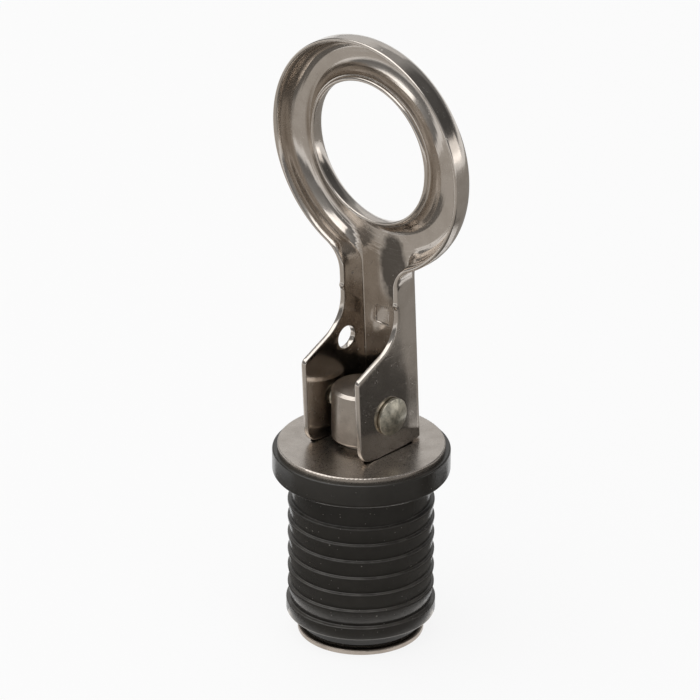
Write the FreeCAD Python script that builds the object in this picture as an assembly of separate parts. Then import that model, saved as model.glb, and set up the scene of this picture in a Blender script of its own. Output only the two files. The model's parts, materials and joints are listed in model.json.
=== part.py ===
"""A snap-handle drain plug for a boat's one inch drain tube, in millimetres.

The frame: the origin is on the plug's axis at the underside of the bottom plate, and +Z runs up the bolt.
+X runs along the pivot rivet towards its domed head. The handle's open side faces -Y, which is also the
side that it folds to. The handle is drawn upright with the rivet's axis at its origin, and then leant.
"""

import FreeCAD, Part

import math
import os

V = FreeCAD.Vector

# Bottom plate and the nut that is held in it
plate_d = 21.5
plate_t = 0.95
plate_edge_r = 0.25
nut_across_flats = 11.1
nut_h = 6.0
nut_spigot_d = 8.4
spigot_gap = 0.02  # between the nut's spigot and the plate's hole

# Rubber sleeve, from the foot up
foot_h = 2.85  # the rounded taper under the band
foot_arc_r = 5.2
band_d = 25.4  # fits a one inch drain tube
band_h = 2.35
rib_d = 24.9
rib_count = 6
rib_pitch = 3.1
rib_land_h = 0.45
rib_foot_d = 23.9  # where a rib's taper ends, above the ledge of the one below
neck_d = 23.5
neck_h = 4.95
flange_d = 30.1
flange_h = 4.45
flange_top_edge_r = 0.3
flange_low_edge_r = 0.9
nut_pocket_gap = 0.1
bore_gap = 0.3  # between the sleeve's bore and the bolt's shoulder

# Top washer
washer_d = 28.35
washer_t = 0.95
washer_edge_r = 0.2
washer_bore_gap = 0.15

# Eye bolt
thread_d = 6.35
thread_gap = 0.08  # between the bolt and the nut, which are plain where the thread is
bolt_tip_z = 3.4
bolt_tip_chamfer = 0.7
shoulder_d = 6.8
shoulder_below_washer = 0.6
barrel_d = 10.2
barrel_h = 9.4
barrel_above_washer = 1.0
barrel_top_chamfer = 0.5
barrel_low_edge_r = 0.6

# Pivot rivet
rivet_d = 4.0
rivet_hole_gap = 0.02  # in the cheeks, which the rivet is clinched to
rivet_running_gap = 0.05  # in the barrel, which turns on it
head_d = 6.7
head_h = 1.5
head_edge_h = 0.8
tail_d = 6.3
tail_h = 0.85
tail_edge_h = 0.2

# Handle, from the pivot's axis
sheet_t = 1.0
cheek_half_width = 6.55
pin_to_front = 7.45  # to the cheeks' straight front edges, which lie on the washer when it is locked
pin_to_bottom = 6.65
pin_to_web = 8.0  # to the outside of the web
cam_corner_r = 2.8  # the corner that the handle rolls over
shoulder_start_z = 9.05  # where the front edge turns into the sloping shoulder
shoulder_slope_deg = 23.0
shoulder_corner_r = 1.2
sweep_r = 6.7  # the hollow curve from the shoulder up to the neck's rim
cheek_bend_r = 1.25  # outside radius of the bends between the cheeks and the web
ring_bend_r = 3.7  # outside radius of the ring's two bends, which the neck's bends grow to
neck_fillet_r = 5.0
ring_centre_z = 44.9
ring_d = 41.1
ring_section_w = 8.2  # across the ring's gutter, from its outer wall to the finger hole
ring_hole_rise = 0.45  # the finger hole is pierced a little above the ring's centre
outer_rim_y = 2.57
inner_rim_y = 3.7
lanyard_hole_d = 4.0
lanyard_hole_y = 2.73
lanyard_hole_z = 9.8
dent_width = 3.1
dent_height = 3.4
dent_depth = 0.25
dent_x = -1.3
dent_z = 13.6

# How the handle stands
lean_deg = 3.2  # towards the open side
cam_gap = 0.02  # between the cam corner and the washer
slit_side_gap = 0.15
slit_end_gap = 0.3

# Heights that follow
sleeve_bottom_z = plate_t
band_bottom_z = sleeve_bottom_z + foot_h
band_top_z = band_bottom_z + band_h
ribs_top_z = band_top_z + rib_count * rib_pitch
flange_bottom_z = ribs_top_z + neck_h
flange_top_z = flange_bottom_z + flange_h
washer_top_z = flange_top_z + washer_t
lean = math.radians(lean_deg)
cam_reach_y = pin_to_front - cam_corner_r
cam_reach_z = pin_to_bottom - cam_corner_r
pin_above_washer = (
    cam_reach_z * math.cos(lean) + cam_reach_y * math.sin(lean) + cam_corner_r + cam_gap
)
pin_z = washer_top_z + pin_above_washer
barrel_bottom_z = washer_top_z + barrel_above_washer
barrel_top_z = barrel_bottom_z + barrel_h
washer_bore_r = shoulder_d / 2 + washer_bore_gap
finger_hole_r = ring_d / 2 - ring_section_w
finger_hole_z = ring_centre_z + ring_hole_rise


def line(start, end):
    """A straight edge between two (r, z) points of a turned profile."""
    return Part.makeLine(V(start[0], 0, start[1]), V(end[0], 0, end[1]))


def arc(start, middle, end):
    """A round edge through three (r, z) points."""
    return Part.Arc(*(V(p[0], 0, p[1]) for p in (start, middle, end))).toShape()


def corner_arc(centre, radius, from_deg, to_deg):
    """A round edge about a centre, from one angle to another, and its two ends."""
    ends = [
        (centre[0] + radius * math.cos(math.radians(a)), centre[1] + radius * math.sin(math.radians(a)))
        for a in (from_deg, (from_deg + to_deg) / 2, to_deg)
    ]
    return arc(*ends), ends[0], ends[2]


def profile_face(pieces):
    """A face from edges and bare points in order. Straight edges join whatever lies apart."""
    edges, first, last = [], None, None
    for piece in pieces:
        start, end = (piece[1], piece[2]) if isinstance(piece[0], Part.Shape) else (piece, piece)
        if last is not None and math.dist(last, start) > 1e-7:
            edges.append(line(last, start))
        if isinstance(piece[0], Part.Shape):
            edges.append(piece[0])
        first = first or start
        last = end
    if math.dist(last, first) > 1e-7:
        edges.append(line(last, first))
    return Part.Face(Part.Wire(edges))


def turned(pieces):
    """A solid turned about Z from its profile."""
    return profile_face(pieces).revolve(V(0, 0, 0), V(0, 0, 1), 360)


def bar_x(radius, x_from, x_to, y, z):
    """A round bar along X."""
    return Part.makeCylinder(radius, x_to - x_from, V(x_from, y, z), V(1, 0, 0))


def hexagon(across_flats, z, height):
    """A hexagonal prism with two flats facing +Y and -Y."""
    corner = across_flats / math.sqrt(3)
    points = [
        V(corner * math.cos(math.radians(60 * n)), corner * math.sin(math.radians(60 * n)), z)
        for n in range(7)
    ]
    return Part.Face(Part.makePolygon(points)).extrude(V(0, 0, height))


def make_bottom_plate():
    disc = turned([
        (0, 0),
        corner_arc((plate_d / 2 - plate_edge_r, plate_edge_r), plate_edge_r, -90, 0),
        corner_arc((plate_d / 2 - plate_edge_r, plate_t - plate_edge_r), plate_edge_r, 0, 90),
        (0, plate_t),
    ])
    return disc.cut(Part.makeCylinder(nut_spigot_d / 2 + spigot_gap, plate_t, V(0, 0, 0)))


def make_plate_nut():
    corner_r = nut_across_flats / math.sqrt(3)
    chamfer = corner_r - nut_across_flats / 2
    top_z = plate_t + nut_h
    body = hexagon(nut_across_flats, plate_t, nut_h).common(turned([
        (0, plate_t),
        (corner_r, plate_t),
        (corner_r, top_z - chamfer * math.tan(math.radians(30))),
        (corner_r - chamfer, top_z),
        (0, top_z),
    ]))
    spigot = Part.makeCylinder(nut_spigot_d / 2, plate_t, V(0, 0, 0))
    bore = Part.makeCylinder(thread_d / 2 + thread_gap, top_z, V(0, 0, 0))
    return body.fuse(spigot).cut(bore).removeSplitter()


def foot_arc():
    """The rounded taper from the foot's edge out to the band, as an edge with its ends."""
    low, high = (plate_d / 2, sleeve_bottom_z), (band_d / 2, band_bottom_z)
    half = math.dist(low, high) / 2
    bulge = foot_arc_r - math.sqrt(foot_arc_r**2 - half**2)
    across = ((high[1] - low[1]) / (2 * half), (low[0] - high[0]) / (2 * half))
    middle = (
        (low[0] + high[0]) / 2 + bulge * across[0],
        (low[1] + high[1]) / 2 + bulge * across[1],
    )
    return arc(low, middle, high), low, high


def make_rubber_sleeve():
    bore_r = shoulder_d / 2 + bore_gap
    outside = [(bore_r, sleeve_bottom_z), foot_arc(), (band_d / 2, band_top_z)]
    for n in range(rib_count):
        ledge_z = band_top_z + (n + 1) * rib_pitch
        outside += [
            (rib_foot_d / 2, ledge_z - rib_pitch),
            (rib_d / 2, ledge_z - rib_land_h),
            (rib_d / 2, ledge_z),
        ]
    outside += [
        (neck_d / 2, ribs_top_z),
        (neck_d / 2, flange_bottom_z),
        corner_arc(
            (flange_d / 2 - flange_low_edge_r, flange_bottom_z + flange_low_edge_r), flange_low_edge_r, -90, 0
        ),
        corner_arc(
            (flange_d / 2 - flange_top_edge_r, flange_top_z - flange_top_edge_r), flange_top_edge_r, 0, 90
        ),
        (bore_r, flange_top_z),
    ]
    pocket = hexagon(nut_across_flats + 2 * nut_pocket_gap, sleeve_bottom_z, nut_h + nut_pocket_gap)
    return turned(outside).cut(pocket)


def slit(side):
    """The relief under one cheek's edge, as long as the cam corner's path through the washer's top face."""
    width = sheet_t + 2 * slit_side_gap
    corner_swing = math.hypot(cam_reach_y, cam_reach_z) + cam_corner_r
    half_length = math.sqrt(corner_swing**2 - pin_above_washer**2) + slit_end_gap
    x = side * (cheek_half_width - sheet_t / 2)
    run = half_length - width / 2
    z = flange_top_z
    cut = Part.makeBox(width, 2 * run, washer_t, V(x - width / 2, -run, z))
    for y in (-run, run):
        cut = cut.fuse(Part.makeCylinder(width / 2, washer_t, V(x, y, z)))
    return cut


def make_top_washer():
    washer = turned([
        (washer_bore_r, flange_top_z),
        (washer_d / 2, flange_top_z),
        corner_arc((washer_d / 2 - washer_edge_r, washer_top_z - washer_edge_r), washer_edge_r, 0, 90),
        (washer_bore_r, washer_top_z),
    ])
    return washer.cut(slit(-1)).cut(slit(1))


def make_eye_bolt():
    thread_r, barrel_r = thread_d / 2, barrel_d / 2
    shoulder_z = flange_top_z - shoulder_below_washer
    bolt = turned([
        (0, bolt_tip_z),
        (thread_r - bolt_tip_chamfer, bolt_tip_z),
        (thread_r, bolt_tip_z + bolt_tip_chamfer),
        (thread_r, shoulder_z),
        (shoulder_d / 2, shoulder_z),
        (shoulder_d / 2, barrel_bottom_z),
        corner_arc((barrel_r - barrel_low_edge_r, barrel_bottom_z + barrel_low_edge_r), barrel_low_edge_r, -90, 0),
        (barrel_r, barrel_top_z - barrel_top_chamfer),
        (barrel_r - barrel_top_chamfer, barrel_top_z),
        (0, barrel_top_z),
    ])
    return bolt.cut(bar_x(rivet_d / 2 + rivet_running_gap, -barrel_d, barrel_d, 0, pin_z))


def dome(radius, edge_h, height, base):
    """A rivet head's edge and dome, from its rim in to the axis, above a base height."""
    rise = height - edge_h
    ball_r = (radius**2 + rise**2) / (2 * rise)
    middle_z = base + edge_h + math.sqrt(ball_r**2 - (radius / 2) ** 2) - (ball_r - rise)
    rim, top = (radius, base + edge_h), (0, base + height)
    return (radius, base), (arc(rim, (radius / 2, middle_z), top), rim, top)


def half_rivet(radius, edge_h, height):
    """Half the shank and one head, along +Z."""
    return turned([
        (0, 0),
        (rivet_d / 2, 0),
        (rivet_d / 2, cheek_half_width),
        *dome(radius, edge_h, height, cheek_half_width),
    ])


def make_pivot_rivet():
    head = half_rivet(head_d / 2, head_edge_h, head_h)
    tail = half_rivet(tail_d / 2, tail_edge_h, tail_h)
    head.rotate(V(0, 0, 0), V(0, 1, 0), 90)
    tail.rotate(V(0, 0, 0), V(0, 1, 0), -90)
    return head.fuse(tail).removeSplitter()


def outline_face(inset, y, bottom_z):
    """The stamping seen from the front: cheeks, neck and ring, drawn in by an inset, in the plane of a y."""
    half, ring_r, fillet = cheek_half_width - inset, ring_d / 2 - inset, neck_fillet_r + inset
    fillet_x = cheek_half_width + neck_fillet_r
    reach = ring_d / 2 + neck_fillet_r
    fillet_z = ring_centre_z - math.sqrt(reach**2 - fillet_x**2)
    to_ring = (-fillet_x / reach, (ring_centre_z - fillet_z) / reach)
    halfway = math.hypot(to_ring[0] - 1, to_ring[1])
    between = ((to_ring[0] - 1) / halfway, to_ring[1] / halfway)
    neck = (half, fillet_z)
    hollow = (fillet_x + fillet * between[0], fillet_z + fillet * between[1])
    meet = (fillet_x + fillet * to_ring[0], fillet_z + fillet * to_ring[1])

    def at(point, side=1):
        return V(side * point[0], y, point[1])

    edges = [
        Part.makeLine(at((half, bottom_z), -1), at((half, bottom_z))),
        Part.makeLine(at((half, bottom_z)), at(neck)),
        Part.Arc(at(neck), at(hollow), at(meet)).toShape(),
        Part.Arc(at(meet), at((0, ring_centre_z + ring_r)), at(meet, -1)).toShape(),
        Part.Arc(at(meet, -1), at(hollow, -1), at(neck, -1)).toShape(),
        Part.makeLine(at(neck, -1), at((half, bottom_z), -1)),
    ]
    return Part.Face(Part.Wire(edges))


def finger_bore(radius, y_from, y_to):
    return Part.makeCylinder(radius, y_to - y_from, V(0, y_from, finger_hole_z), V(0, 1, 0))


def drawn_block(inset, bottom_z):
    """The stamping's filled form with its back edges rounded, drawn in by an inset from the sheet's outside.

    The bends are tight along the cheeks and wide round the ring, and grow from one to the other at the neck.
    """
    back, front = pin_to_web - inset, -pin_to_front - 5
    block = outline_face(inset, back, bottom_z).extrude(V(0, front - back, 0))
    block = block.cut(finger_bore(finger_hole_r + inset, front, back))
    tight, wide = cheek_bend_r - inset, ring_bend_r - inset
    bends = []
    for number, edge in enumerate(block.Edges, 1):
        if edge.BoundBox.YMin < back - 1e-4 or edge.BoundBox.ZMax < bottom_z + 1e-4:
            continue
        if isinstance(edge.Curve, Part.Line):
            bends.append((number, tight, tight))
        elif edge.Curve.Radius < neck_fillet_r + inset + 0.01 and len(edge.Vertexes) > 1:
            first = edge.valueAt(edge.FirstParameter)
            last = edge.valueAt(edge.LastParameter)
            bends.append((number, tight, wide) if first.z < last.z else (number, wide, tight))
        else:
            bends.append((number, wide, wide))
    sheet = FreeCAD.newDocument("bends")
    blank = sheet.addObject("Part::Feature", "blank")
    blank.Shape = block
    rounded = sheet.addObject("Part::Fillet", "rounded")
    rounded.Base = blank
    rounded.Edges = bends
    sheet.recompute()
    shape = rounded.Shape.copy()
    FreeCAD.closeDocument(sheet.Name)
    return shape


def side_profile():
    """What is kept of the stamping, seen along X: the cheeks' edges, the shoulder, the sweep and the rim."""
    slope = math.radians(shoulder_slope_deg)
    front, bottom, top = -pin_to_front, -pin_to_bottom, ring_centre_z + ring_d
    behind = pin_to_web + 5
    corner_turn = (math.pi / 2 - slope) / 2
    corner_cut = shoulder_corner_r * math.tan(corner_turn)
    corner_centre = (front + shoulder_corner_r, shoulder_start_z - corner_cut)
    sweep_y = outer_rim_y - sweep_r
    sweep_z = shoulder_start_z + (sweep_r + (sweep_y - front) * math.sin(slope)) / math.cos(slope)
    pieces = [
        (behind, bottom),
        corner_arc((front + cam_corner_r, bottom + cam_corner_r), cam_corner_r, 270, 180),
        corner_arc(corner_centre, shoulder_corner_r, 180, 90 + shoulder_slope_deg),
        corner_arc((sweep_y, sweep_z), sweep_r, shoulder_slope_deg - 90, 0),
        (outer_rim_y, top),
        (behind, top),
    ]
    face = profile_face(pieces)
    face.rotate(V(0, 0, 0), V(0, 0, 1), 90)
    face.translate(V(-ring_d, 0, 0))
    return face.extrude(V(2 * ring_d, 0, 0))


def make_handle():
    stamping = drawn_block(0, -pin_to_bottom)
    stamping = stamping.cut(drawn_block(sheet_t, -pin_to_bottom - sheet_t))
    stamping = stamping.common(side_profile())
    stamping = stamping.cut(finger_bore(finger_hole_r + sheet_t * 1.2, -pin_to_front, inner_rim_y))
    reach = cheek_half_width + sheet_t
    stamping = stamping.cut(bar_x(rivet_d / 2 + rivet_hole_gap, -reach, reach, 0, 0))
    stamping = stamping.cut(bar_x(lanyard_hole_d / 2, -reach, 0, lanyard_hole_y, lanyard_hole_z))
    dent = Part.makeBox(
        dent_width,
        2 * dent_depth,
        dent_height,
        V(dent_x - dent_width / 2, pin_to_web - sheet_t - dent_depth, dent_z - dent_height / 2),
    )
    return stamping.cut(dent)


def stood(shape):
    """A piece drawn about the rivet's axis, leant and lifted to its place."""
    shape.rotate(V(0, 0, 0), V(1, 0, 0), lean_deg)
    shape.translate(V(0, 0, pin_z))
    return shape


parts = {
    "bottom_plate": make_bottom_plate(),
    "plate_nut": make_plate_nut(),
    "rubber_sleeve": make_rubber_sleeve(),
    "top_washer": make_top_washer(),
    "eye_bolt": make_eye_bolt(),
    "pivot_rivet": stood(make_pivot_rivet()),
    "handle": stood(make_handle()),
}

os.makedirs("parts", exist_ok=True)
for name, shape in parts.items():
    solid = shape if shape.ShapeType == "Solid" else shape.Solids[0]
    box = solid.BoundBox
    print(
        name,
        "solids", len(shape.Solids),
        "valid", solid.isValid(),
        "mm3", round(solid.Volume, 1),
        "z", round(box.ZMin, 3), round(box.ZMax, 3),
        "y", round(box.YMin, 3), round(box.YMax, 3),
    )
    solid.exportStep(f"parts/{name}.step")
print("pin_z", round(pin_z, 4), "washer_top_z", round(washer_top_z, 4))
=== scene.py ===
"""The looks of a snap-handle drain plug: a stamped stainless handle on a ribbed black rubber plug.

Sizes are in millimetres, as a maker would give them, and mm() turns them into the frame's metres.
"""

import json
import math

import bmesh
import bpy
from mathutils import Matrix, Vector


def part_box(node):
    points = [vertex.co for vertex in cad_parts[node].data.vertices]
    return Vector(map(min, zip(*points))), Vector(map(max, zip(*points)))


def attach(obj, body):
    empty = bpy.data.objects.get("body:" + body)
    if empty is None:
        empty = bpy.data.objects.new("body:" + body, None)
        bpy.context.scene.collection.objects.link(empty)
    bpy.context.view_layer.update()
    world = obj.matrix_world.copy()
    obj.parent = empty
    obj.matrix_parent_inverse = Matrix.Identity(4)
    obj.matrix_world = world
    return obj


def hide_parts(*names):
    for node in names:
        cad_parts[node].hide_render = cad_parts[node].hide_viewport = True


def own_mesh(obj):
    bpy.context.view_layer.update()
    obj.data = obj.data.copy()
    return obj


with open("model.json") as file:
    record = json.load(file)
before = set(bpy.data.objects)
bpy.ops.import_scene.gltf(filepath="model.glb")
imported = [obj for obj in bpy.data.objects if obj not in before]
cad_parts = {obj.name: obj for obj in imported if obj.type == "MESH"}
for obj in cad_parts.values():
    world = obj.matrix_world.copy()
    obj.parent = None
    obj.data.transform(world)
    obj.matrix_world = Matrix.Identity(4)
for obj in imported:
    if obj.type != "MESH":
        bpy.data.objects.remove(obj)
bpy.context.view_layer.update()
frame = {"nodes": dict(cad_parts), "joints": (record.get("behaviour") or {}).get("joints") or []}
nodes = frame["nodes"]
joints = {joint["name"]: joint for joint in frame["joints"]}


def mm(*values):
    """Millimetres to metres, as a number or a vector."""
    metres = [value / 1000 for value in values]
    return metres[0] if len(metres) == 1 else Vector(metres)


# What the frame says: the pivot and lean of the handle, and the levels of the rubber and the washer
pivot = Vector(joints["lever_flip"]["pos_m"]) * 1000
lean = -math.radians(joints["lever_flip"]["range_deg"][0])
sleeve_low, sleeve_high = (corner * 1000 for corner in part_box("rubber_sleeve"))
washer_top_z = (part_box("top_washer")[1] * 1000).z

# Handle stamping, measured from the pivot
sheet_t = 1.0
cheek_half_width = 6.55
pin_to_front = 7.45
pin_to_bottom = 6.65
pin_to_web = 8.0
cam_corner_r = 2.8
shoulder_start_z = 9.05
shoulder_slope = math.radians(23.0)
shoulder_corner_r = 1.2
sweep_r = 6.7
cheek_bend_r = 1.25
ring_bend_r = 3.7
neck_fillet_r = 5.0
ring_centre_z = 44.9
ring_r = 20.55
ring_hole_r = 12.35
ring_hole_z = ring_centre_z + 0.45
outer_rim_y = 2.57
inner_rim_y = 3.7
rivet_hole_r = 2.02
lanyard_hole_r = 2.0
lanyard_hole_y = 2.73
lanyard_hole_z = 9.8
dent_size = (3.1, 0.5, 3.4)
dent_centre = (-1.3, pin_to_web - sheet_t, 13.6)
dent_corner_r = 0.2

# What the press left on the stamping: rounded edges, two nubs, thinned rims, bent-in strips, a lower heel
sheet_edge_round = 0.26
longest_round = 3
cut_edge_round = 0.015
smallest_edge = 0.006
trim_nub_z = 19.4
trim_nub_h = 0.24
trim_nub_width = 0.42
rim_thinning = 0.45
rim_reach = 1.6
back_strip = 3.0
back_strip_turn = math.radians(4.5)
heel_drop = 0.25
heel_top_z = -4
heel_reach = 9.0

# Pivot rivet, its heads measured from the cheeks
rivet_r = 2.0
head_r = 3.3
head_base_r = 2.9
head_relief_h = 0.4
head_edge_h = 0.75
head_h = 1.5
head_round = 0.16
tail_r = 3.15
tail_edge_h = 0.2
tail_h = 0.85

# Rubber sleeve, from the foot up
foot_groove_r = 10.1
foot_groove_h = 0.7
foot_r = 10.45
foot_round = 0.3
band_underside = ((0.15, 0.4), (0.5, 0))
band_r = 12.7
band_bottom_z = 3.8
band_low_round = 0.35
band_top_z = 6.15
rib_count = 6
rib_pitch = 3.1
rib_r = 12.45
rib_foot_r = 11.95
rib_land_h = 0.45
neck_r = 11.75
neck_h = 4.95
flange_r = sleeve_high.x
bore_r = 3.7
nut_pocket_r = 6.6
nut_pocket_h = 6.1
lip_round = 0.2
flange_top_round = 0.3
flange_low_round = 0.9

# Mesh fineness
straight_steps = 22
corner_steps = 10
sweep_steps = 16
fillet_steps = 18
ring_steps = 150
hole_steps = 168
edge_rows = 4
wall_rows = 6
strip_rows = 3
bend_rows = 12
rivet_steps = 96
sleeve_steps = 240
same_point = 0.0005


def held(share):
    """A share held between 0 and 1."""
    return min(max(share, 0), 1)


def spread(low, high, steps):
    """Even steps from one value towards another, which is left for the next stretch to start with."""
    return [low + (high - low) * n / steps for n in range(steps)]


def arc_points(centre, radius, from_deg, to_deg, steps):
    """Points along a round stretch of a profile, both ends included."""
    angles = [math.radians(from_deg + (to_deg - from_deg) * n / steps) for n in range(steps + 1)]
    return [(centre[0] + radius * math.cos(a), centre[1] + radius * math.sin(a)) for a in angles]


def finished_mesh(name, mesh):
    """A mesh in millimetres as a smooth-shaded object in metres."""
    bmesh.ops.recalc_face_normals(mesh, faces=mesh.faces)
    bmesh.ops.scale(mesh, vec=(0.001, 0.001, 0.001), verts=mesh.verts)
    data = bpy.data.meshes.new(name)
    mesh.to_mesh(data)
    mesh.free()
    piece = bpy.data.objects.new(name, data)
    bpy.context.scene.collection.objects.link(piece)
    for face in data.polygons:
        face.use_smooth = True
    return piece


def apply_modifiers(piece):
    """Keeps the result of a piece's modifiers as its mesh."""
    bpy.context.view_layer.update()
    shaped = piece.evaluated_get(bpy.context.evaluated_depsgraph_get())
    piece.data = bpy.data.meshes.new_from_object(shaped)
    piece.modifiers.clear()


def keep_flats_flat(piece, weight):
    """Turns the smooth shading of small rounds to the large faces beside them."""
    weighted = piece.modifiers.new("flat_normals", "WEIGHTED_NORMAL")
    weighted.keep_sharp = False
    weighted.weight = weight
    apply_modifiers(piece)


# The handle

stand_on_pivot = Matrix.Translation(pivot / 1000) @ Matrix.Rotation(lean, 4, "X")
heel_from_y = -pin_to_front + cam_corner_r
heel_h = pin_to_bottom + heel_top_z
cam_centre_z = -pin_to_bottom + cam_corner_r
fillet_x = cheek_half_width + neck_fillet_r
fillet_reach = ring_r + neck_fillet_r
fillet_z = ring_centre_z - math.sqrt(fillet_reach**2 - fillet_x**2)
fillet_turn = math.atan2(ring_centre_z - fillet_z, fillet_x)
shoulder_turn = math.pi / 2 - shoulder_slope
shoulder_y = -pin_to_front + shoulder_corner_r
shoulder_z = shoulder_start_z - shoulder_corner_r * math.tan(shoulder_turn / 2)
sweep_y = outer_rim_y - sweep_r
sweep_z = shoulder_start_z + (
    sweep_r + (sweep_y + pin_to_front) * math.sin(shoulder_slope)
) / math.cos(shoulder_slope)
slope_start_z = shoulder_z + shoulder_corner_r * math.cos(shoulder_slope)
slope_end_z = sweep_z - sweep_r * math.cos(shoulder_slope)


def round_reach(radius, offset):
    """How far a circle reaches across, at an offset from its centre."""
    return math.sqrt(max(radius**2 - offset**2, 0))


def free_edge_y(z):
    """Where the stamping's trimmed edge lies at a height above the pivot."""
    if z < cam_centre_z:
        return -pin_to_front + cam_corner_r - round_reach(cam_corner_r, z - cam_centre_z)
    if z <= shoulder_z:
        return -pin_to_front
    if z <= slope_start_z:
        return shoulder_y - round_reach(shoulder_corner_r, z - shoulder_z)
    if z <= slope_end_z:
        return -pin_to_front + (z - shoulder_start_z) / math.tan(shoulder_slope)
    if z <= sweep_z:
        return sweep_y + round_reach(sweep_r, z - sweep_z)
    return outer_rim_y - trim_nub_h * math.exp(-(((z - trim_nub_z) / trim_nub_width) ** 2))


def edge_round_depth(z):
    """How far in y the edge's rounding reaches at a height: further where the trimmed edge slopes."""
    step = 0.02
    slope = (free_edge_y(z + step) - free_edge_y(z - step)) / (2 * step)
    return sheet_edge_round * min(math.hypot(1, slope), longest_round)


def cheek_heights():
    """The heights above the pivot at which a cheek is sampled, close together where its edge curves."""
    heights = [cam_centre_z - cam_corner_r * math.cos(turn) for turn in spread(0, math.pi / 2, corner_steps)]
    heights += spread(cam_centre_z, shoulder_z, straight_steps)
    heights += [shoulder_z + shoulder_corner_r * math.sin(turn) for turn in spread(0, shoulder_turn, corner_steps)]
    heights += spread(slope_start_z, slope_end_z, straight_steps)
    heights += [sweep_z - sweep_r * math.sin(turn) for turn in spread(shoulder_turn, 0, sweep_steps)]
    heights += spread(sweep_z, fillet_z, straight_steps)
    return heights


def outline_stations():
    """The stamping's outline from the +X cheek's foot over the ring to the other foot.

    Each station is a function from an inset to (x, z), the y of the trimmed edge and the depth of its
    rounding, the bend's radius, and 1 on a cheek or 0 on the ring, with the neck between them.
    """
    rim = (outer_rim_y, sheet_edge_round)

    def straight(side, z):
        return lambda inset: (side * (cheek_half_width - inset), z)

    def fillet(side, share):
        angle = math.pi - fillet_turn * share
        return lambda inset: (
            side * (fillet_x + (neck_fillet_r + inset) * math.cos(angle)),
            fillet_z + (neck_fillet_r + inset) * math.sin(angle),
        )

    def ring(angle):
        return lambda inset: (
            (ring_r - inset) * math.cos(angle),
            ring_centre_z + (ring_r - inset) * math.sin(angle),
        )

    def cheek(side):
        edges = [(z, (free_edge_y(z), edge_round_depth(z))) for z in cheek_heights()]
        return [(straight(side, z), edge, cheek_bend_r, 1.0) for z, edge in edges]

    def neck(side):
        stations = []
        for share in spread(0, 1, fillet_steps):
            grown = share * share * (3 - 2 * share)
            bend_r = cheek_bend_r + (ring_bend_r - cheek_bend_r) * grown
            stations.append((fillet(side, share), rim, bend_r, 1 - grown))
        return stations

    angles = [-fillet_turn + (math.pi + 2 * fillet_turn) * n / ring_steps for n in range(ring_steps + 1)]
    over = [(ring(angle), rim, ring_bend_r, 0.0) for angle in angles]
    return cheek(1) + neck(1) + over + neck(-1)[::-1] + cheek(-1)[::-1]


def wall_section(edge, inset, bend_r, cheek_share=0.0):
    """(inset, y) down one wall of the sheet and round its bend, from the trimmed edge to the flat web.

    The trimmed edge is rounded, a cheek turns in a little along its bend, and the ring's sheet thins out
    towards its trimmed rims.
    """
    front_y, round_depth = edge
    bend_y = pin_to_web - bend_r
    strip_y = max(bend_y - back_strip, front_y)
    wall_y = front_y + round_depth
    knee_y = max(strip_y, wall_y + (bend_y - wall_y) * wall_rows / (wall_rows + strip_rows))
    turns = spread(0, math.pi / 2, edge_rows)
    rows = [(front_y + round_depth * (1 - math.cos(turn)), 1 - math.sin(turn)) for turn in turns]
    rows += [(y, 0) for y in spread(wall_y, knee_y, wall_rows) + spread(knee_y, bend_y, strip_rows)]
    thinned = rim_thinning * (1 - cheek_share)
    rounded = -sheet_edge_round if inset else sheet_edge_round
    wall = []
    for y, round_share in rows:
        across = inset * (1 - thinned * max(1 - (y - front_y) / rim_reach, 0) ** 2)
        wall.append((across + rounded * round_share, y))
    wall += arc_points((bend_r, bend_y), bend_r - inset, 180, 90, bend_rows)
    turned_in = math.tan(back_strip_turn) * cheek_share
    return [(across + turned_in * min(max(y - strip_y, 0), bend_y - strip_y), y) for across, y in wall]


def skin(mesh, inset):
    """One face of the sheet: the outer wall's rows, the hole wall's rows, and the flat web between them."""
    outline = []
    for point, edge, bend_r, cheek_share in outline_stations():
        row = []
        for across, y in wall_section(edge, inset, bend_r, cheek_share):
            x, z = point(across)
            z -= heel_drop * held((y - heel_from_y) / heel_reach) * held((heel_top_z - z) / heel_h)
            row.append(mesh.verts.new((x, y, z)))
        outline.append(row)
    hole = []
    for angle in spread(0, 2 * math.pi, hole_steps):
        row = []
        for across, y in wall_section((inner_rim_y, sheet_edge_round), inset, ring_bend_r):
            radius = ring_hole_r + across
            row.append(mesh.verts.new((radius * math.cos(angle), y, ring_hole_z + radius * math.sin(angle))))
        hole.append(row)
    for rows, closed in ((outline, False), (hole, True)):
        pairs = list(zip(rows, rows[1:] + rows[:1]))
        for here, there in pairs if closed else pairs[:-1]:
            for n in range(len(here) - 1):
                mesh.faces.new((here[n], here[n + 1], there[n + 1], there[n]))
    flat_edge = [row[-1] for row in outline]
    flat_hole = [row[-1] for row in hole]
    edges = [mesh.edges.get(pair) for pair in zip(flat_edge, flat_edge[1:])]
    edges += [mesh.edges.get(pair) for pair in zip(flat_hole, flat_hole[1:] + flat_hole[:1])]
    edges.append(mesh.edges.new((flat_edge[-1], flat_edge[0])))
    bmesh.ops.triangle_fill(mesh, use_beauty=True, edges=edges, normal=(0, 1, 0))
    return outline, hole


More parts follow.
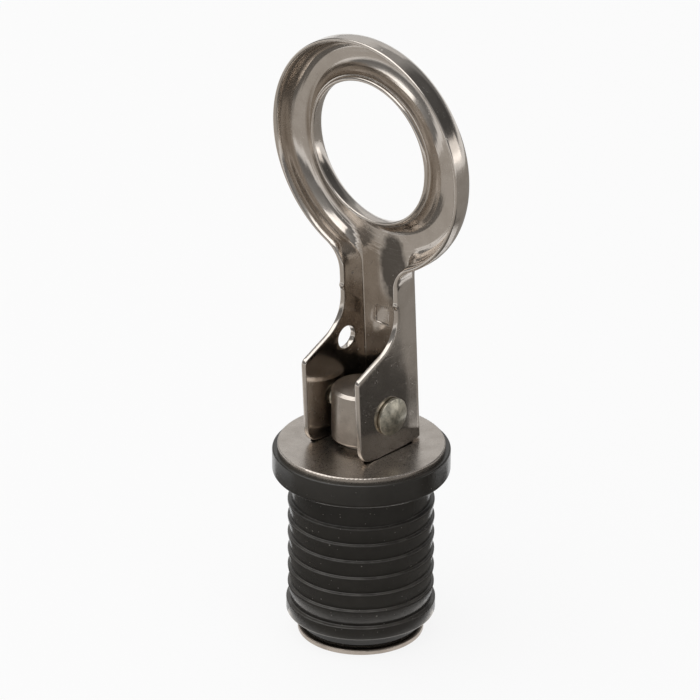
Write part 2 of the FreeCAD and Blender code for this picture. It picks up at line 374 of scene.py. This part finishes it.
def close_sheet(mesh, outside, inside):
    """The sheet's own thickness, where it was trimmed: round the outline and the hole, and across the foot."""
    outline_out, hole_out = outside
    outline_in, hole_in = inside
    for n in range(len(outline_out) - 1):
        mesh.faces.new((outline_out[n][0], outline_out[n + 1][0], outline_in[n + 1][0], outline_in[n][0]))
    for n in range(len(hole_out)):
        after = (n + 1) % len(hole_out)
        mesh.faces.new((hole_out[n][0], hole_out[after][0], hole_in[after][0], hole_in[n][0]))
    for foot in (0, -1):
        section_out, section_in = outline_out[foot], outline_in[foot]
        for n in range(len(section_out) - 1):
            mesh.faces.new((section_out[n], section_out[n + 1], section_in[n + 1], section_in[n]))
    mesh.faces.new((outline_out[0][-1], outline_out[-1][-1], outline_in[-1][-1], outline_in[0][-1]))


def cutter(name, mesh):
    """A tool for a cut, left out of the picture."""
    tool = finished_mesh(name, mesh)
    tool.hide_render = True
    return tool


def bar_cutter(name, radius, x_from, x_to, y, z):
    """A round bar along X, to cut a hole with."""
    mesh = bmesh.new()
    turn = Matrix.Translation(((x_from + x_to) / 2, y, z)) @ Matrix.Rotation(math.pi / 2, 4, "Y")
    bmesh.ops.create_cone(
        mesh, cap_ends=True, segments=64, radius1=radius, radius2=radius, depth=x_to - x_from, matrix=turn
    )
    return cutter(name, mesh)


def dent_cutter():
    """The squarish punch that marks the web's inner face."""
    mesh = bmesh.new()
    place_and_size = Matrix.Translation(dent_centre) @ Matrix.Diagonal((*dent_size, 1))
    bmesh.ops.create_cube(mesh, size=1, matrix=place_and_size)
    bmesh.ops.bevel(mesh, geom=mesh.edges[:], offset=dent_corner_r, segments=3, affect="EDGES")
    return cutter("dent_punch", mesh)


def cut_away(piece, tools):
    """Cuts the tools' shapes out of a piece, and takes out what the cuts leave too small to keep."""
    for tool in tools:
        cut = piece.modifiers.new(tool.name, "BOOLEAN")
        cut.object = tool
        cut.operation = "DIFFERENCE"
        cut.solver = "EXACT"
    apply_modifiers(piece)
    for tool in tools:
        bpy.data.objects.remove(tool)
    mesh = bmesh.new()
    mesh.from_mesh(piece.data)
    bmesh.ops.dissolve_degenerate(mesh, edges=mesh.edges, dist=mm(smallest_edge))
    mesh.to_mesh(piece.data)
    mesh.free()


def soften_edges(piece, width):
    """A fine round on each edge that is still sharp, with flat faces left flat."""
    rounding = piece.modifiers.new("edge_round", "BEVEL")
    rounding.width = mm(width)
    rounding.segments = 2
    rounding.limit_method = "ANGLE"
    rounding.angle_limit = math.radians(40)
    rounding.use_clamp_overlap = False
    keep_flats_flat(piece, 80)


def make_handle():
    """The stamping: its two skins closed along the trimmed edges, with two holes and a punched mark."""
    mesh = bmesh.new()
    close_sheet(mesh, skin(mesh, 0), skin(mesh, sheet_t))
    stamping = finished_mesh("handle_stamping", mesh)
    reach = cheek_half_width + sheet_t
    tools = [
        bar_cutter("rivet_hole", rivet_hole_r, -reach, reach, 0, 0),
        bar_cutter("lanyard_hole", lanyard_hole_r, -reach, 0, lanyard_hole_y, lanyard_hole_z),
        dent_cutter(),
    ]
    cut_away(stamping, tools)
    soften_edges(stamping, cut_edge_round)
    stamping.data.transform(stand_on_pivot)
    return stamping


# The turned and moulded pieces


def turned_mesh(name, profile, steps):
    """A closed ring of a mesh turned about Z from a closed (radius, z) profile."""
    mesh = bmesh.new()
    rings = []
    for angle in spread(0, 2 * math.pi, steps):
        rings.append([mesh.verts.new((r * math.cos(angle), r * math.sin(angle), z)) for r, z in profile])
    for here, there in zip(rings, rings[1:] + rings[:1]):
        for n in range(len(profile)):
            after = (n + 1) % len(profile)
            mesh.faces.new((here[n], here[after], there[after], there[n]))
    bmesh.ops.remove_doubles(mesh, verts=mesh.verts, dist=same_point)
    return finished_mesh(name, mesh)


def dome_points(radius, low, top, steps):
    """A dome's (radius, z) points from its rim to the axis, on a ball's surface."""
    rise = top - low
    ball_r = (radius**2 + rise**2) / (2 * abs(rise)) * math.copysign(1, rise)
    reaches = [radius * (1 - n / steps) for n in range(steps + 1)]
    return [(r, top - ball_r + math.copysign(math.sqrt(ball_r**2 - r**2), rise)) for r in reaches]


def make_rivet():
    """The rivet about Z, its domed head up and relieved where it meets the cheek, then laid along X."""
    face = cheek_half_width
    tail = dome_points(tail_r, -face - tail_edge_h, -face - tail_h, 10)
    points = tail[::-1] + [(tail_r, -face), (rivet_r, -face), (rivet_r, face), (head_base_r, face)]
    points += arc_points((head_base_r, face + head_relief_h), head_r - head_base_r, -90, 0, 5)
    points += arc_points((head_r - head_round, face + head_edge_h - head_round), head_round, 0, 60, 3)
    points += dome_points(head_r - head_round, face + head_edge_h, face + head_h, 14)
    rivet = turned_mesh("clinched_rivet", points, rivet_steps)
    rivet.data.transform(stand_on_pivot @ Matrix.Rotation(math.pi / 2, 4, "Y"))
    return rivet


def sleeve_profile():
    """(radius, z) round the sleeve's section, from the foot's inner edge up the outside and down the bore."""
    top_z = sleeve_high.z
    foot_z = sleeve_low.z
    groove_top = foot_z + foot_groove_h
    points = [(nut_pocket_r, foot_z), (foot_groove_r, foot_z), (foot_groove_r, groove_top - foot_round)]
    points += arc_points((foot_r - foot_round, groove_top + foot_round), foot_round, -60, 0, 4)
    points += [(foot_r + out, band_bottom_z - below) for out, below in band_underside]
    points += arc_points((band_r - band_low_round, band_bottom_z + band_low_round), band_low_round, -90, 0, 7)
    painted_ledge_highlight = [(band_r, band_top_z)]
    painted_ledge_highlight += [(rib_r, band_top_z + (n + 1) * rib_pitch) for n in range(rib_count)]
    for n, (crest_r, ledge_z) in enumerate(painted_ledge_highlight):
        if n:
            points.append((rib_r, ledge_z - rib_land_h))
        points += arc_points((crest_r - lip_round, ledge_z - lip_round), lip_round, 0, 90, 4)
        inner_r = neck_r if n == rib_count else rib_foot_r
        points += arc_points((inner_r + lip_round, ledge_z + lip_round), lip_round, 270, 180, 3)
    neck_top = band_top_z + rib_count * rib_pitch + neck_h
    points += arc_points((neck_r + lip_round, neck_top - lip_round), lip_round, 180, 90, 3)
    low_centre = (flange_r - flange_low_round, neck_top + flange_low_round)
    points += arc_points(low_centre, flange_low_round, -90, 0, 10)
    top_centre = (flange_r - flange_top_round, top_z - flange_top_round)
    points += arc_points(top_centre, flange_top_round, 0, 90, 5)
    points += [(bore_r, top_z), (bore_r, foot_z + nut_pocket_h), (nut_pocket_r, foot_z + nut_pocket_h)]
    return points


def make_sleeve():
    """The rubber sleeve, turned from its section."""
    moulding = turned_mesh("sleeve_moulding", sleeve_profile(), sleeve_steps)
    keep_flats_flat(moulding, 70)
    return moulding


# Shader helpers


def place(tree, kind, inputs=None, **settings):
    """A shader node with its settings, its inputs given as values or as other nodes' sockets."""
    made = tree.nodes.new("ShaderNode" + kind)
    for name, value in settings.items():
        setattr(made, name, value)
    for name, value in (inputs or {}).items():
        connect(tree, made.inputs[name], value)
    return made


def connect(tree, socket, value):
    """Links a socket to another node's, or sets its plain value."""
    if isinstance(value, bpy.types.NodeSocket):
        tree.links.new(value, socket)
    else:
        socket.default_value = value


def maths(tree, operation, *values):
    """The result of a Math node."""
    return place(tree, "Math", dict(enumerate(values)), operation=operation).outputs[0]


def product(tree, first, second):
    """One value times another."""
    return maths(tree, "MULTIPLY", first, second)


def larger(tree, first, second):
    """The larger of two values."""
    return maths(tree, "MAXIMUM", first, second)


def vector_maths(tree, operation, *values):
    """A Vector Math node."""
    return place(tree, "VectorMath", dict(enumerate(values)), operation=operation)


def part_of(tree, vector, axis):
    """One coordinate of a vector."""
    return place(tree, "SeparateXYZ", {"Vector": vector}).outputs[axis]


def ramp(tree, value, low, high, to_low=0.0, to_high=1.0):
    """A value spread from one range to another and held within it."""
    limits = {"Value": value, "From Min": low, "From Max": high, "To Min": to_low, "To Max": to_high}
    return place(tree, "MapRange", limits).outputs["Result"]


def millimetres(tree):
    """Object coordinates in millimetres."""
    where = place(tree, "TexCoord").outputs["Object"]
    return vector_maths(tree, "MULTIPLY", where, (1000, 1000, 1000)).outputs["Vector"]


def noise(tree, vector, scale, detail=2.0, roughness=0.5):
    """Uneven values between 0 and 1."""
    inputs = {"Vector": vector, "Scale": scale, "Detail": detail, "Roughness": roughness}
    return place(tree, "TexNoise", inputs).outputs["Fac"]


def mix_colour(tree, share, first, second):
    """One colour blended into another, each given as numbers or as a socket."""
    made = place(tree, "Mix", data_type="RGBA")
    colours = [socket for socket in made.inputs if socket.type == "RGBA"]
    connect(tree, made.inputs["Factor"], share)
    for socket, colour in zip(colours, (first, second)):
        connect(tree, socket, (*colour, 1) if isinstance(colour, tuple) else colour)
    return next(socket for socket in made.outputs if socket.type == "RGBA")


# Shader effects, each a node group with named inputs and outputs


def effect(name, inputs, outputs, build):
    """A shader node group: inputs are names with their defaults, and build returns the outputs."""
    tree = bpy.data.node_groups.new(name, "ShaderNodeTree")
    for socket, default in inputs.items():
        kind = "NodeSocketVector" if isinstance(default, tuple) else "NodeSocketFloat"
        made = tree.interface.new_socket(socket, in_out="INPUT", socket_type=kind)
        made.default_value = default
    for socket in outputs:
        tree.interface.new_socket(socket, in_out="OUTPUT", socket_type="NodeSocketFloat")
    given = tree.nodes.new("NodeGroupInput").outputs
    results = build(tree, given)
    end = tree.nodes.new("NodeGroupOutput")
    for socket, result in zip(outputs, results):
        tree.links.new(result, end.inputs[socket])
    return tree


def use(tree, group, **values):
    """A group placed in a material with its own values."""
    made = tree.nodes.new("ShaderNodeGroup")
    made.node_tree = group
    for name, value in values.items():
        connect(tree, made.inputs[name], value)
    return made.outputs


def build_scratches(tree, given):
    """Thin straight scratches in three directions, kept only in patches."""
    total = None
    for turn, stretch in ((0.3, (0.05, 6, 1.2)), (1.2, (3.5, 0.07, 2.5)), (-0.7, (0.06, 2.8, 5))):
        spun = place(tree, "VectorRotate", {"Vector": given["Position"], "Angle": turn}, rotation_type="Y_AXIS")
        scaled = vector_maths(tree, "MULTIPLY", spun.outputs["Vector"], stretch).outputs["Vector"]
        line = ramp(tree, noise(tree, scaled, given["Scale"], 3.0, 0.55), given["Threshold"], 0.78)
        total = line if total is None else larger(tree, total, line)
    patches = ramp(tree, noise(tree, given["Position"], 0.22), 0.42, 0.62)
    return [product(tree, total, patches)]


def build_specks(tree, given):
    """Scattered small round specks of dust, some larger than others."""
    cells = place(tree, "TexVoronoi", {"Vector": given["Position"], "Scale": given["Scale"]})
    chance = place(tree, "SeparateColor", {"Color": cells.outputs["Color"]}).outputs
    size = product(tree, chance["Green"], given["Size"])
    inside = maths(tree, "LESS_THAN", cells.outputs["Distance"], size)
    kept = maths(tree, "LESS_THAN", chance["Red"], given["Share"])
    return [product(tree, inside, kept)]


def build_patch(tree, given):
    """A soft-edged oval patch with an uneven outline."""
    apart = vector_maths(tree, "SUBTRACT", given["Position"], given["Centre"]).outputs["Vector"]
    scaled = vector_maths(tree, "DIVIDE", apart, given["Reach"]).outputs["Vector"]
    away = vector_maths(tree, "LENGTH", scaled).outputs["Value"]
    uneven = product(tree, noise(tree, given["Position"], 0.6, 3.0, 0.6), 0.5)
    return [ramp(tree, maths(tree, "ADD", away, uneven), 1.0, 1.25, 1.0, 0.0)]


def build_turned(tree, given):
    """Fine rings about the Z axis, as a lathe or a drawing die leaves them."""
    parts = place(tree, "SeparateXYZ", {"Vector": given["Position"]}).outputs
    squares = [product(tree, parts[axis], parts[axis]) for axis in ("X", "Y")]
    radius = maths(tree, "SQRT", maths(tree, "ADD", *squares))
    rings = product(tree, radius, given["Rings"])
    line = place(tree, "TexNoise", {"W": rings, "Scale": 1.0, "Detail": 3.0}, noise_dimensions="1D")
    return [line.outputs["Fac"], radius]


def build_tumble(tree, given):
    """The shallow waviness and fine pitting of tumbled metal."""
    wave = noise(tree, given["Position"], given["Wave"], 1.0)
    pit = noise(tree, given["Position"], given["Pit"], 3.0, 0.6)
    return [wave, pit]


nowhere = (0, 0, 0)
scratches = effect(
    "fine_scratches", {"Position": nowhere, "Scale": 1.0, "Threshold": 0.62}, ["Mask"], build_scratches
)
specks = effect(
    "dust_specks", {"Position": nowhere, "Scale": 1.0, "Size": 0.3, "Share": 0.2}, ["Mask"], build_specks
)
patch = effect("oval_patch", {"Position": nowhere, "Centre": nowhere, "Reach": (1, 1, 1)}, ["Mask"], build_patch)
turned = effect("turned_rings", {"Position": nowhere, "Rings": 4.0}, ["Line", "Radius"], build_turned)
tumble = effect("tumbled_metal", {"Position": nowhere, "Wave": 0.3, "Pit": 6.0}, ["Wave", "Pit"], build_tumble)


# The finishes

scratch_tone = (0.78, 0.75, 0.71)
steel_dust_tone = (0.7, 0.67, 0.62)
# the colour of a painted dark reflection
dark_reflection_tone = (0.09, 0.08, 0.07)
rubber_tone = (0.024, 0.0215, 0.018)
rubber_bloom_tone = (0.031, 0.0278, 0.0235)
# the colour of a painted highlight on the rubber's ledges
ledge_highlight_tone = (0.105, 0.098, 0.088)
rubber_dust_tone = (0.26, 0.24, 0.21)
turned_tone = (0.52, 0.47, 0.42)
turned_stain_tone = (0.4, 0.36, 0.32)


def new_material(name):
    """A material with its tree and its Principled shader."""
    material = bpy.data.materials.new(name)
    material.use_nodes = True
    tree = material.node_tree
    return material, tree, tree.nodes["Principled BSDF"]


def bump(tree, shader, heights):
    """Bumps one on another: (height socket, depth in millimetres, strength)."""
    normal = None
    for height, depth, strength in heights:
        inputs = {"Height": height, "Distance": mm(depth), "Strength": strength}
        if normal is not None:
            inputs["Normal"] = normal
        normal = place(tree, "Bump", inputs).outputs["Normal"]
    tree.links.new(normal, shader.inputs["Normal"])


def painted_dark_reflection(tree, position, tone, centre, reach):
    """A tone darkened by a patch on the faces that look towards -Y: a painted dark reflection."""
    dark = use(tree, patch, Position=position, Centre=centre, Reach=reach)["Mask"]
    facing = part_of(tree, place(tree, "TexCoord").outputs["Normal"], "Y")
    inner = ramp(tree, facing, -0.8, -0.4, 0.9, 0.0)
    return mix_colour(tree, product(tree, dark, inner), tone, dark_reflection_tone)


def drawing_lines(tree, position, centre_z):
    """The heights of fine lines round the ring, which the drawing of the sheet left."""
    above = maths(tree, "SUBTRACT", part_of(tree, position, "Z"), centre_z)
    flat = place(tree, "CombineXYZ", {"X": part_of(tree, position, "X"), "Y": above}).outputs["Vector"]
    lines = use(tree, turned, Position=flat, Rings=1.4)
    on_ring = ramp(tree, lines["Radius"], 20.7, 22.0, 1.0, 0.0)
    return product(tree, lines["Line"], on_ring)


def steel(
    name,
    tone,
    stain,
    rough,
    wave_depth,
    pit_depth,
    scratch_depth=0.002,
    rings=0.0,
    wave=0.25,
    pit=5.0,
    stains=0.35,
    dark_reflection_patch=None,
    drawn_about_z=None,
):
    """Stainless steel: tumbled waviness, fine scratches, faint staining, haze and a few dust specks, with a
    painted dark reflection where one is given.
    """
    material, tree, shader = new_material(name)
    position = millimetres(tree)
    surface = use(tree, tumble, Position=position, Wave=wave, Pit=pit)
    scratch = use(tree, scratches, Position=position, Scale=1.0, Threshold=0.6)["Mask"]
    dust = use(tree, specks, Position=position, Scale=0.55, Size=0.16, Share=0.3)["Mask"]

    stained = ramp(tree, noise(tree, position, stains, 4.0, 0.6), 0.4, 0.7)
    colour = mix_colour(tree, stained, tone, stain)
    # A painted dark reflection: an oval patch darkened on the faces that look towards -Y
    if dark_reflection_patch:
        colour = painted_dark_reflection(tree, position, colour, *dark_reflection_patch)
    colour = mix_colour(tree, product(tree, scratch, 0.35), colour, scratch_tone)
    colour = mix_colour(tree, product(tree, dust, 0.5), colour, steel_dust_tone)
    tree.links.new(colour, shader.inputs["Base Color"])
    shader.inputs["Metallic"].default_value = 1.0

    low, high = rough
    uneven = ramp(tree, surface["Pit"], 0.3, 0.75, low, high)
    haze = ramp(tree, noise(tree, position, 0.5, 5.0, 0.7), 0.52, 0.72, 0.0, high + 0.14)
    marks = larger(tree, product(tree, scratch, 0.55), haze)
    rougher = larger(tree, larger(tree, uneven, marks), product(tree, dust, 0.6))
    tree.links.new(rougher, shader.inputs["Roughness"])

    heights = [
        (surface["Wave"], wave_depth, 1.0),
        (surface["Pit"], pit_depth, 1.0),
        (scratch, -scratch_depth, 1.0),
    ]
    if rings:
        heights.append((use(tree, turned, Position=position, Rings=rings)["Line"], 0.006, 1.0))
    if drawn_about_z:
        heights.append((drawing_lines(tree, position, drawn_about_z), 0.05, 1.0))
    bump(tree, shader, heights)
    return material


def black_rubber():
    """Semi-gloss moulded rubber with a bloom, fine grain, pale dust, and a painted highlight on its upward-facing
    ledges.
    """
    material, tree, shader = new_material("black_rubber")
    position = millimetres(tree)
    grain = noise(tree, position, 3.5, 4.0, 0.6)
    bloom = ramp(tree, noise(tree, position, 0.18, 3.0, 0.55), 0.35, 0.7)
    fine_dust = use(tree, specks, Position=position, Scale=2.0, Size=0.22, Share=0.12)["Mask"]
    large_dust = use(tree, specks, Position=position, Scale=0.6, Size=0.12, Share=0.3)["Mask"]
    dust = larger(tree, fine_dust, large_dust)

    # A painted highlight: faces that look up, below the flange, made lighter and broken up by noise
    upward = ramp(tree, part_of(tree, place(tree, "TexCoord").outputs["Normal"], "Z"), 0.25, 0.8)
    below_flange = ramp(tree, part_of(tree, position, "Z"), 27.5, 28.5, 1.0, 0.0)
    highlight_breakup = ramp(tree, noise(tree, position, 0.3, 3.0), 0.35, 0.6, 0.3, 0.9)
    painted_ledge_highlight = product(tree, product(tree, upward, below_flange), highlight_breakup)
    colour = mix_colour(tree, bloom, rubber_tone, rubber_bloom_tone)
    colour = mix_colour(tree, painted_ledge_highlight, colour, ledge_highlight_tone)
    colour = mix_colour(tree, product(tree, dust, 0.45), colour, rubber_dust_tone)
    tree.links.new(colour, shader.inputs["Base Color"])

    uneven = ramp(tree, grain, 0.3, 0.75, 0.16, 0.28)
    tree.links.new(larger(tree, uneven, product(tree, dust, 0.8)), shader.inputs["Roughness"])
    shader.inputs["Specular IOR Level"].default_value = 0.5
    bump(tree, shader, [(bloom, 0.03, 0.6), (grain, 0.01, 0.7), (dust, 0.01, 1.0)])
    return material


def set_material(piece, material):
    """A piece of this script gets its only finish."""
    piece.data.materials.clear()
    piece.data.materials.append(material)


def dress_node(name, material):
    """A CAD node that stays gets its finish in its own slots."""
    for slot in nodes[name].material_slots:
        slot.material = material


# The pieces

handle_steel = steel(
    "bright_stainless",
    (0.6, 0.55, 0.5),
    (0.53, 0.48, 0.43),
    rough=(0.12, 0.22),
    wave_depth=0.05,
    pit_depth=0.0008,
    scratch_depth=0.0016,
    wave=0.16,
    # a painted dark reflection on the web's inner face near the neck
    dark_reflection_patch=((1.9, 5.6, 65.4), (3.3, 2.2, 7.4)),
    drawn_about_z=pivot.z + ring_centre_z * math.cos(lean),
)
handle = make_handle()
set_material(handle, handle_steel)
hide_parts("handle")
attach(handle, "lever")

sleeve = make_sleeve()
set_material(sleeve, black_rubber())
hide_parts("rubber_sleeve")
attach(sleeve, "plate")
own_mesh(sleeve)

rivet_steel = steel(
    "rivet_steel",
    (0.58, 0.545, 0.455),
    (0.26, 0.25, 0.205),
    rough=(0.26, 0.38),
    wave_depth=0.08,
    pit_depth=0.008,
    scratch_depth=0.01,
    wave=0.4,
    stains=1.1,
)
rivet = make_rivet()
set_material(rivet, rivet_steel)
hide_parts("pivot_rivet")
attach(rivet, "lever")

bolt_steel = steel(
    "turned_steel", turned_tone, turned_stain_tone, rough=(0.26, 0.4), wave_depth=0.02, pit_depth=0.01, pit=4.0
)
dress_node("eye_bolt", bolt_steel)
washer_steel = steel(
    "washer_steel",
    (0.56, 0.51, 0.46),
    (0.46, 0.415, 0.37),
    rough=(0.24, 0.36),
    wave_depth=0.01,
    pit_depth=0.004,
    scratch_depth=0.004,
    rings=2.2,
)
dress_node("top_washer", washer_steel)
plate_steel = steel(
    "plate_steel", (0.46, 0.4, 0.345), (0.36, 0.31, 0.265), rough=(0.26, 0.38), wave_depth=0.01, pit_depth=0.004
)
dress_node("bottom_plate", plate_steel)
nut_steel = steel(
    "nut_steel", turned_tone, turned_stain_tone, rough=(0.3, 0.4), wave_depth=0.01, pit_depth=0.004
)
dress_node("plate_nut", nut_steel)


# The studio

camera_azimuth = math.radians(42.71)
camera_elevation = math.radians(26.24)
camera_roll = math.radians(0.29)
camera_distance = 878.5
pixels_per_mm = 5.944
picture_side = 700
washer_top_pixel = (361.46, 441.3)
lit_middle = (0, 0, 70)
floor_half_side = 4000
card_tone = (1, 0.955, 0.9, 1)
white = (1, 1, 1, 1)
dark_side = (0.43, 0.68, 0.6)


def set_camera():
    """The photograph's view: the washer's top centre falls on its measured pixel."""
    target = Vector((0, 0, washer_top_z))
    across = Vector((math.cos(camera_azimuth), math.sin(camera_azimuth), 0))
    level_reach = math.cos(camera_elevation)
    ahead = Vector(
        (
            -math.sin(camera_azimuth) * level_reach,
            math.cos(camera_azimuth) * level_reach,
            -math.sin(camera_elevation),
        )
    )
    above = across.cross(ahead)
    right = across * math.cos(camera_roll) + above * math.sin(camera_roll)
    up = above * math.cos(camera_roll) - across * math.sin(camera_roll)
    eye = target - ahead * camera_distance
    middle = picture_side / 2
    aim = target + right * (middle - washer_top_pixel[0]) / pixels_per_mm
    aim += up * (washer_top_pixel[1] - middle) / pixels_per_mm
    forward = (aim - eye).normalized()
    right = forward.cross(up).normalized()
    up = right.cross(forward)
    data = bpy.data.cameras.new("photo_camera")
    data.sensor_width = 36
    data.lens = pixels_per_mm * (aim - eye).length * data.sensor_width / picture_side
    data.clip_end = 20
    camera = bpy.data.objects.new("photo_camera", data)
    bpy.context.scene.collection.objects.link(camera)
    turn = Matrix((right, up, -forward)).transposed().to_4x4()
    camera.matrix_world = Matrix.Translation(eye / 1000) @ turn
    bpy.context.scene.camera = camera


def soft_lamp(name, place_at, size, level, colour=(1, 1, 1)):
    """A soft box aimed at the object, with a face as bright as the level says, where 1 is white."""
    data = bpy.data.lights.new(name, "AREA")
    data.shape = "RECTANGLE"
    data.size, data.size_y = mm(size[0]), mm(size[1])
    data.energy = level * math.pi * data.size * data.size_y
    data.color = colour
    lamp = bpy.data.objects.new(name, data)
    bpy.context.scene.collection.objects.link(lamp)
    away = Vector(place_at) - Vector(lit_middle)
    turn = away.to_track_quat("Z", "Y").to_matrix().to_4x4()
    lamp.matrix_world = Matrix.Translation(Vector(place_at) / 1000) @ turn
    lamp.visible_camera = False


def oblong(low, high):
    """A card's outline between two corners."""
    return [(low[0], low[1]), (high[0], low[1]), (high[0], high[1]), (low[0], high[1])]


def ring_part(inner, outer, from_deg, to_deg):
    """A card's outline round part of the object's foot."""
    return arc_points((0, 0), outer, from_deg, to_deg, 24) + arc_points((0, 0), inner, to_deg, from_deg, 24)


def grey_card(name, outline, height, level):
    """A card laid round the object, of an (x, y) outline, that only metal and rubber mirror."""
    mesh = bmesh.new()
    mesh.faces.new([mesh.verts.new((x, y, height)) for x, y in outline])
    card = finished_mesh(name, mesh)
    material = bpy.data.materials.new(name)
    material.use_nodes = True
    tree = material.node_tree
    tree.nodes.clear()
    glow = place(tree, "Emission", {"Color": card_tone, "Strength": level})
    tree.links.new(glow.outputs[0], place(tree, "OutputMaterial").inputs["Surface"])
    set_material(card, material)
    card.visible_camera = False
    card.visible_diffuse = False
    card.visible_shadow = False
    card.visible_transmission = False


def background_rays(tree):
    """1 for the rays that see the white background: the camera's, and those by way of gloss or glass."""
    rays = place(tree, "LightPath").outputs
    seen = larger(tree, rays["Is Camera Ray"], rays["Is Glossy Ray"])
    return larger(tree, seen, rays["Is Transmission Ray"])


def make_floor():
    """The pale floor, which keeps the object's shadow and goes to white in the background."""
    mesh = bmesh.new()
    bmesh.ops.create_grid(mesh, x_segments=1, y_segments=1, size=floor_half_side)
    floor = finished_mesh("floor", mesh)
    material, tree, shader = new_material("pale_floor")
    shader.inputs["Base Color"].default_value = (0.82, 0.82, 0.82, 1)
    shader.inputs["Roughness"].default_value = 1.0
    shader.inputs["Specular IOR Level"].default_value = 0.0
    glow = place(tree, "Emission", {"Color": white, "Strength": 1.0})
    share = product(tree, background_rays(tree), 0.88)
    mixed = place(tree, "MixShader", {0: share, 1: shader.outputs[0], 2: glow.outputs[0]})
    tree.links.new(mixed.outputs[0], tree.nodes["Material Output"].inputs["Surface"])
    set_material(floor, material)


def set_world():
    """A dim grey room, brighter overhead and darker behind on the right, above a pale band at the horizon."""
    world = bpy.data.worlds.new("studio")
    world.use_nodes = True
    bpy.context.scene.world = world
    tree = world.node_tree
    tree.nodes.clear()
    towards = place(tree, "TexCoord").outputs["Generated"]
    height = part_of(tree, towards, "Z")
    to_dark = vector_maths(tree, "DOT_PRODUCT", towards, dark_side).outputs["Value"]
    overhead = ramp(tree, height, 0.1, 0.9, 0.18, 0.42)
    room = product(tree, overhead, ramp(tree, to_dark, 0.82, 0.92, 1.0, 0.3))
    horizon = ramp(tree, height, 0.0, 0.07, 1.0, 0.0)
    shade = place(tree, "Background", {"Color": white, "Strength": larger(tree, room, horizon)})
    tree.links.new(shade.outputs[0], place(tree, "OutputWorld").inputs["Surface"])


make_floor()
set_world()
set_camera()
soft_lamp("overhead", (-150, -250, 950), (1300, 1300), 1.6)
soft_lamp("left_back_box", (-420, 455, 340), (520, 400), 0.45)
soft_lamp("right_back_box", (460, 420, 130), (260, 180), 1.05, (1, 0.97, 0.94))
grey_card("front_card", oblong((-330, -400), (400, -52)), 1.0, 0.5)
grey_card("right_card", oblong((46, -52), (400, 400)), 1.0, 0.33)
grey_card("back_card", oblong((-120, 80), (46, 400)), 1.0, 0.3)
grey_card("near_card", ring_part(17.5, 72, -182, 88), 1.5, 0.15)
grey_card("foot_card", ring_part(13, 17.4, -150, 56), 0.5, 2.2)
grey_card("dark_card", oblong((50, 34), (98, 84)), 2.0, 0.05)

bpy.context.scene.view_settings.view_transform = "Standard"
